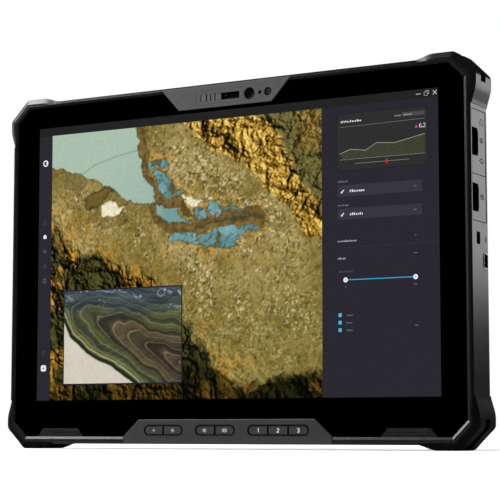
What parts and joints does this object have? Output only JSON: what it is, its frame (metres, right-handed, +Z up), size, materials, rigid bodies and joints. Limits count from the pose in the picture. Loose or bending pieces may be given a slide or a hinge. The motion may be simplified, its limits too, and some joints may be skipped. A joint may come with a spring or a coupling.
{
  "type": "data collector",
  "caption": "Rugged landscape field tablet with a large screen, corner bumpers, front keys, side port doors and swappable rear battery packs.",
  "frame": {"origin": "middle of the rectangle around the tablet, on the surface that it stands on", "axes": "+X to the right seen from the front, -Y out of the screen, +Z up towards the camera bar"},
  "size_m": [0.301, 0.025, 0.2076],
  "materials": {
    "housing_metal": "black powder-coated magnesium",
    "bezel_metal": "black coated die-cast ring",
    "cover_glass": "polished bonded glass",
    "black_foam": "black bonding foam",
    "display": "lit display",
    "bar_plastic": "fine-textured dark plastic",
    "key_plastic": "satin dark plastic",
    "bumper_rubber": "moulded black elastomer",
    "lens_glass": "black lens barrel",
    "grille_metal": "black perforated plate",
    "seal_rubber": "soft black seal",
    "door_plastic": "moulded black plastic",
    "board": "green circuit board",
    "package": "black package",
    "midframe_metal": "die-cast plate",
    "copper": "copper",
    "spreader_metal": "stamped plate",
    "steel": "bright steel",
    "brass": "machined brass",
    "pack_plastic": "textured black plastic",
    "latch_plastic": "dark grey plastic",
    "cover_plastic": "textured black plastic"
  },
  "bodies": {
    "tablet": {"antennas": "copper", "audio_jack": "package", "battery_contacts": "package", "bumper_lower_left": "bumper_rubber", "bumper_lower_right": "bumper_rubber", "bumper_upper_left": "bumper_rubber", "bumper_upper_right": "bumper_rubber", "button_bar": "bar_plastic", "button_board": "board", "button_membrane": "seal_rubber", "camera_bar": "bar_plastic", "cover_glass": "cover_glass", "dock_connector": "package", "front_bezel": "bezel_metal", "front_camera": "lens_glass", "glass_seal": "black_foam", "heat_pipe": "copper", "heat_spreader": "spreader_metal", "housing_screws": "steel", "infrared_camera": "lens_glass", "lcd_panel": "display", "light_sensor": "lens_glass", "lock_plate": "steel", "main_board": "board", "midframe": "midframe_metal", "mount_inserts": "brass", "port_hinge_pin": "steel", "power_switch": "package", "processor": "package", "rear_camera": "lens_glass", "rear_camera_window": "lens_glass", "rear_housing": "housing_metal", "ring_seal": "seal_rubber", "speaker_grilles": "grille_metal", "speakers": "package", "ssd_cover": "cover_plastic", "ssd_cover_screws": "steel", "ssd_module": "board", "tether_pin": "steel", "usb_a_port": "steel", "usb_c_ports": "steel", "wireless_card": "board"},
    "privacy_shutter": {"privacy_shutter": "key_plastic"},
    "power_button": {"power_button": "key_plastic"},
    "port_door_lower": {"port_door_lower": "door_plastic", "port_seal_lower": "seal_rubber"},
    "port_door_upper": {"port_door_upper": "door_plastic", "port_seal_upper": "seal_rubber"},
    "battery_left": {"battery_left": "pack_plastic"},
    "battery_right": {"battery_right": "pack_plastic"},
    "battery_latch_left": {"battery_latch_left": "latch_plastic"},
    "battery_latch_right": {"battery_latch_right": "latch_plastic"},
    "brightness_down_key": {"brightness_down_key": "key_plastic"},
    "brightness_up_key": {"brightness_up_key": "key_plastic"},
    "volume_down_key": {"volume_down_key": "key_plastic"},
    "volume_up_key": {"volume_up_key": "key_plastic"},
    "program_key_1": {"program_key_1": "key_plastic"},
    "program_key_2": {"program_key_2": "key_plastic"},
    "program_key_3": {"program_key_3": "key_plastic"}
  },
  "joints": [
    {"name": "shutter_slide", "type": "slide", "parent": "tablet", "child": "privacy_shutter", "axis": [1, 0, 0], "range_m": [0, 0.0119]},
    {"name": "power_press", "type": "slide", "parent": "tablet", "child": "power_button", "axis": [0, 0, -1], "range_m": [0, 0.0005], "stiffness_N_per_m": 1500, "springref_m": -0.0003},
    {"name": "brightness_down_press", "type": "slide", "parent": "tablet", "child": "brightness_down_key", "axis": [0, 1, 0], "range_m": [0, 0.0005], "stiffness_N_per_m": 1500, "springref_m": -0.0003},
    {"name": "brightness_up_press", "type": "slide", "parent": "tablet", "child": "brightness_up_key", "axis": [0, 1, 0], "range_m": [0, 0.0005], "stiffness_N_per_m": 1500, "springref_m": -0.0003},
    {"name": "volume_down_press", "type": "slide", "parent": "tablet", "child": "volume_down_key", "axis": [0, 1, 0], "range_m": [0, 0.0005], "stiffness_N_per_m": 1500, "springref_m": -0.0003},
    {"name": "volume_up_press", "type": "slide", "parent": "tablet", "child": "volume_up_key", "axis": [0, 1, 0], "range_m": [0, 0.0005], "stiffness_N_per_m": 1500, "springref_m": -0.0003},
    {"name": "program_key_1_press", "type": "slide", "parent": "tablet", "child": "program_key_1", "axis": [0, 1, 0], "range_m": [0, 0.0005], "stiffness_N_per_m": 1500, "springref_m": -0.0003},
    {"name": "program_key_2_press", "type": "slide", "parent": "tablet", "child": "program_key_2", "axis": [0, 1, 0], "range_m": [0, 0.0005], "stiffness_N_per_m": 1500, "springref_m": -0.0003},
    {"name": "program_key_3_press", "type": "slide", "parent": "tablet", "child": "program_key_3", "axis": [0, 1, 0], "range_m": [0, 0.0005], "stiffness_N_per_m": 1500, "springref_m": -0.0003},
    {"name": "port_door_lower_swing", "type": "hinge", "parent": "tablet", "child": "port_door_lower", "pos_m": [0.14675, 0.007, 0.1305], "axis": [0, 0, 1], "range_deg": [0, 95]},
    {"name": "port_door_upper_swing", "type": "hinge", "parent": "tablet", "child": "port_door_upper", "pos_m": [0.14675, 0.007, 0.1597], "axis": [0, 0, 1], "range_deg": [0, 95]},
    {"name": "battery_left_pull", "type": "slide", "parent": "tablet", "child": "battery_left", "axis": [0, 1, 0], "range_m": [0, 0.015]},
    {"name": "battery_latch_left_slide", "type": "slide", "parent": "tablet", "child": "battery_latch_left", "axis": [1, 0, 0], "range_m": [0, 0.0048], "stiffness_N_per_m": 300, "springref_m": -0.003},
    {"name": "battery_right_pull", "type": "slide", "parent": "tablet", "child": "battery_right", "axis": [0, 1, 0], "range_m": [0, 0.015]},
    {"name": "battery_latch_right_slide", "type": "slide", "parent": "tablet", "child": "battery_latch_right", "axis": [-1, 0, 0], "range_m": [0, 0.0048], "stiffness_N_per_m": 300, "springref_m": -0.003}
  ]
}
